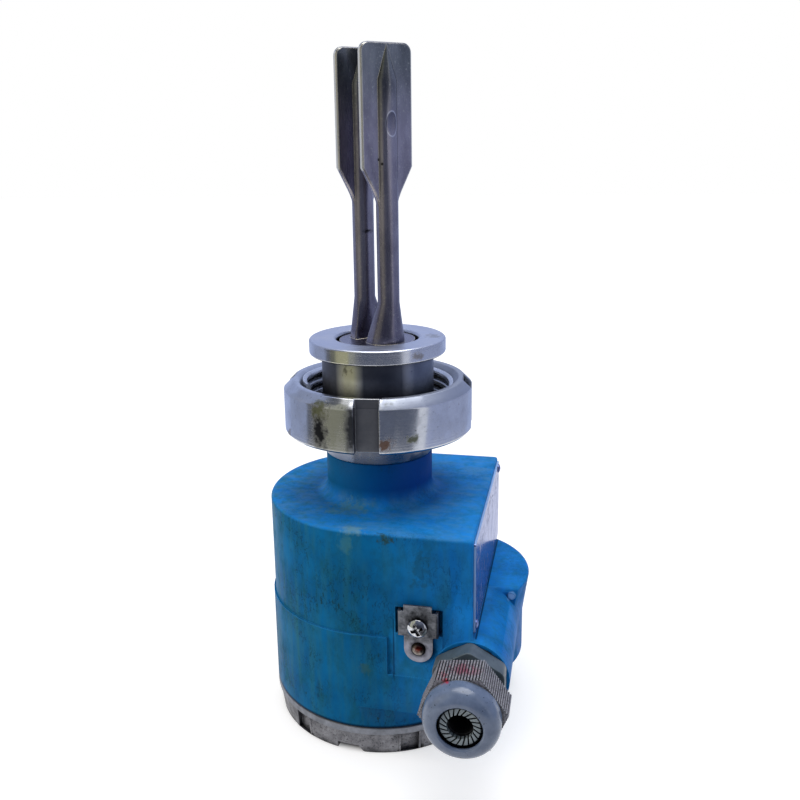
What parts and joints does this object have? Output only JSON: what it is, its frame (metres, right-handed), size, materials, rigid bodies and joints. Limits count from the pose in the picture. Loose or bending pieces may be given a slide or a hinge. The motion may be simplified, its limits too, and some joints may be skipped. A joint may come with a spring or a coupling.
{
  "type": "vibrating fork level switch",
  "caption": "Vibrating fork level switch: coated drum housing with screw lid, cable gland and earth clamp, steel neck with a slotted union nut, and a two-tine fork above.",
  "frame": {"origin": "centre of the lid's underside, on the fork's axis; the switch stands on its lid", "axes": "+Z along the fork's axis from the lid to the fork's tips, +X out of the plate side, -Y out of the cable gland"},
  "size_m": [0.11, 0.1265, 0.2754],
  "materials": {
    "blue_coating": "azure powder coat on die-cast aluminium, grimy",
    "cast_aluminium": "bare die-cast aluminium, dull",
    "plate_aluminium": "bare sheet, silver white",
    "zinc_steel": "dull zinc-plated steel",
    "plated_screw": "bright plated steel",
    "rusted_steel": "plated steel with rust",
    "turned_stainless": "turned stainless steel",
    "fork_stainless": "satin stainless steel",
    "gland_plastic": "moulded grey polyamide",
    "claw_plastic": "moulded pale polyamide",
    "black_rubber": "black rubber",
    "piezo_ceramic": "fired ceramic",
    "contact_brass": "thin brass sheet",
    "insert_plastic": "moulded black plastic, potted",
    "terminal_plastic": "moulded green plastic",
    "switch_plastic": "moulded white plastic",
    "lamp_resin": "clear red resin"
  },
  "bodies": {
    "housing": {"housing_shell": "blue_coating", "name_plate": "plate_aluminium", "plate_rivets": "plate_aluminium", "earth_strip": "zinc_steel", "earth_rivet": "rusted_steel", "gland_body": "gland_plastic", "gland_o_ring": "black_rubber", "process_adapter": "turned_stainless", "neck_ring": "black_rubber", "adapter_lock_nut": "plated_screw", "fork": "fork_stainless", "piezo_discs": "piezo_ceramic", "electrode_shims": "contact_brass", "insulating_washers": "piezo_ceramic", "pressure_screw": "plated_screw", "sensor_lead": "black_rubber", "electronics_insert": "insert_plastic", "terminal_block": "terminal_plastic", "terminal_screws": "plated_screw", "insert_screws": "plated_screw", "status_lamp": "lamp_resin"},
    "union_nut": {"union_nut": "turned_stainless"},
    "cover_ring": {"cover_seal": "black_rubber"},
    "cover": {"housing_cover": "cast_aluminium"},
    "earth_clamp": {"earth_saddle": "zinc_steel"},
    "earth_screw": {"earth_screw": "plated_screw"},
    "gland_grip": {"gland_claw": "claw_plastic", "gland_bush": "black_rubber"},
    "gland_nut": {"gland_dome_nut": "gland_plastic"},
    "mode_slider": {"mode_slider": "switch_plastic"}
  },
  "joints": [
    {"name": "nut_slide", "type": "slide", "parent": "housing", "child": "union_nut", "axis": [0, 0, 1], "range_m": [0, 0.025]},
    {"name": "cover_advance", "type": "slide", "parent": "housing", "child": "cover_ring", "axis": [0, 0, -1], "range_m": [0, 0.00802]},
    {"name": "cover_turn", "type": "hinge", "parent": "cover_ring", "child": "cover", "pos_m": [0, 0, 0], "axis": [0, 0, -1], "range_deg": [0, 1440]},
    {"name": "earth_advance", "type": "slide", "parent": "housing", "child": "earth_clamp", "axis": [0, -1, 0], "range_m": [0, 0.0028]},
    {"name": "earth_turn", "type": "hinge", "parent": "earth_clamp", "child": "earth_screw", "pos_m": [0.0251, -0.0491, 0.0614], "axis": [0, -1, 0], "range_deg": [0, 1442]},
    {"name": "gland_advance", "type": "slide", "parent": "housing", "child": "gland_grip", "axis": [0, -1, 0], "range_m": [0, 0.00452]},
    {"name": "gland_turn", "type": "hinge", "parent": "gland_grip", "child": "gland_nut", "pos_m": [0.0452, -0.06, 0.042], "axis": [0, -1, 0], "range_deg": [0, 1080]},
    {"name": "mode_slide", "type": "slide", "parent": "housing", "child": "mode_slider", "axis": [0, 1, 0], "range_m": [0, 0.003]}
  ],
  "couplings": [
    {"joint": "cover_advance", "follows": "cover_turn", "m_per_rad": 0.00031831},
    {"joint": "earth_turn", "follows": "earth_advance", "rad_per_m": 8976},
    {"joint": "gland_advance", "follows": "gland_turn", "m_per_rad": 0.00023873}
  ]
}
